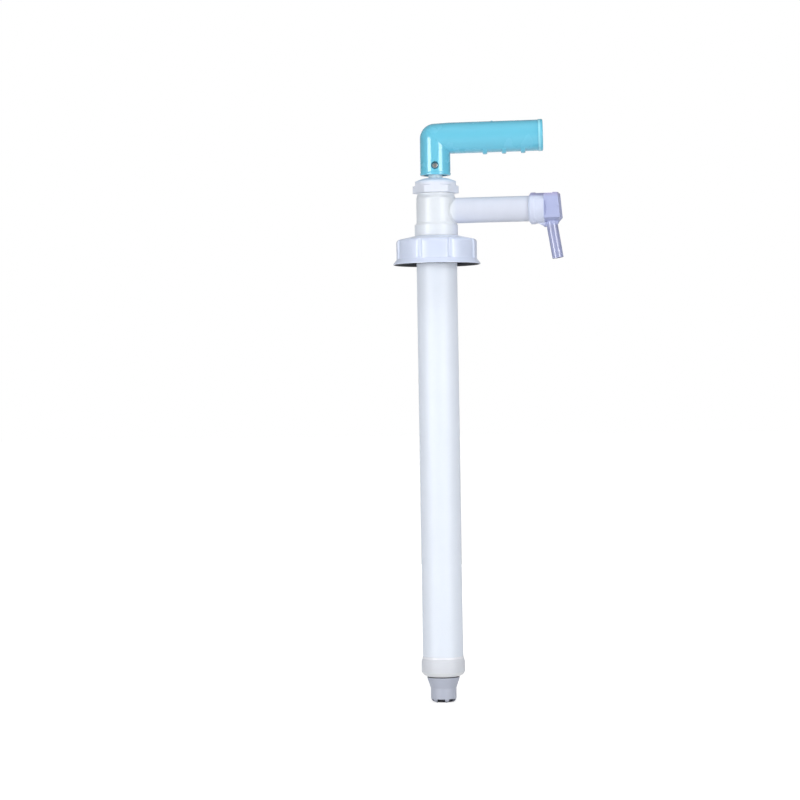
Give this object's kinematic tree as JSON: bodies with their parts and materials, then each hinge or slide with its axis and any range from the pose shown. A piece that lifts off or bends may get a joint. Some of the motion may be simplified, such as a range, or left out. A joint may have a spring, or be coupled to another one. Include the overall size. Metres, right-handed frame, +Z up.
{
  "type": "drum pump",
  "caption": "Hand piston pump with an L-shaped handle, side spout with turning nozzle, lobed screw cap, long barrel and slotted foot valve.",
  "frame": {"origin": "on the pump's axis, in the plane where the drum's mouth meets the gasket", "axes": "+Z up along the barrel and rod, +X along the spout; the grip stands 7 degrees beside it at rest and rises 0.8 degrees"},
  "size_m": [0.1093, 0.0558, 0.3717],
  "materials": {
    "blue_plastic": "glossy sky-blue moulded plastic",
    "white_plastic": "satin white moulded plastic",
    "cream_plastic": "satin cream-white moulded plastic",
    "cap_plastic": "glossy bluish-white moulded plastic",
    "lavender_plastic": "glossy lavender-white moulded plastic",
    "barrel_plastic": "smooth cool-white extruded pipe",
    "collar_plastic": "light warm-grey moulded plastic",
    "grey_plastic": "mid blue-grey moulded plastic",
    "black_rubber": "black moulded rubber",
    "steel": "bright steel"
  },
  "bodies": {
    "pump_body": {"pump_head": "cream_plastic", "barrel_tube": "barrel_plastic", "gland_nut": "white_plastic", "gland_packing": "black_rubber", "rod_guide": "white_plastic", "clamp_flange": "white_plastic", "drum_gasket": "black_rubber", "head_seal": "black_rubber", "foot_collar": "collar_plastic", "foot_gasket": "black_rubber", "collar_gasket": "black_rubber", "foot_valve_body": "grey_plastic", "inlet_ring": "black_rubber", "foot_valve_cage": "white_plastic"},
    "cap": {"drum_cap": "cap_plastic", "cap_rim_seal": "black_rubber"},
    "nozzle": {"spout_nozzle": "lavender_plastic"},
    "piston_ring": {"piston_seal": "black_rubber"},
    "plunger": {"handle": "blue_plastic", "grip_end_cap": "blue_plastic", "handle_screw": "steel", "pump_rod": "white_plastic", "piston_body": "white_plastic", "piston_cage": "white_plastic", "piston_pin": "steel"},
    "piston_valve": {"piston_ball": "steel"},
    "foot_valve": {"foot_valve_ball": "steel"}
  },
  "joints": [
    {"name": "cap_turn", "type": "hinge", "parent": "pump_body", "child": "cap", "pos_m": [0, 0, 0], "axis": [0, 0, 1], "continuous": true},
    {"name": "nozzle_turn", "type": "hinge", "parent": "pump_body", "child": "nozzle", "pos_m": [0, 0, 0.02299], "axis": [1, 0, 0], "continuous": true},
    {"name": "pump_stroke", "type": "slide", "parent": "pump_body", "child": "piston_ring", "axis": [0, 0, 1], "range_m": [0, 0.2737]},
    {"name": "handle_turn", "type": "hinge", "parent": "piston_ring", "child": "plunger", "pos_m": [0, 0, 0], "axis": [0, 0, 1], "continuous": true},
    {"name": "piston_valve_lift", "type": "slide", "parent": "plunger", "child": "piston_valve", "axis": [0, 0, 1], "range_m": [0, 0.003]},
    {"name": "foot_valve_lift", "type": "slide", "parent": "pump_body", "child": "foot_valve", "axis": [0, 0, 1], "range_m": [0, 0.004]}
  ]
}
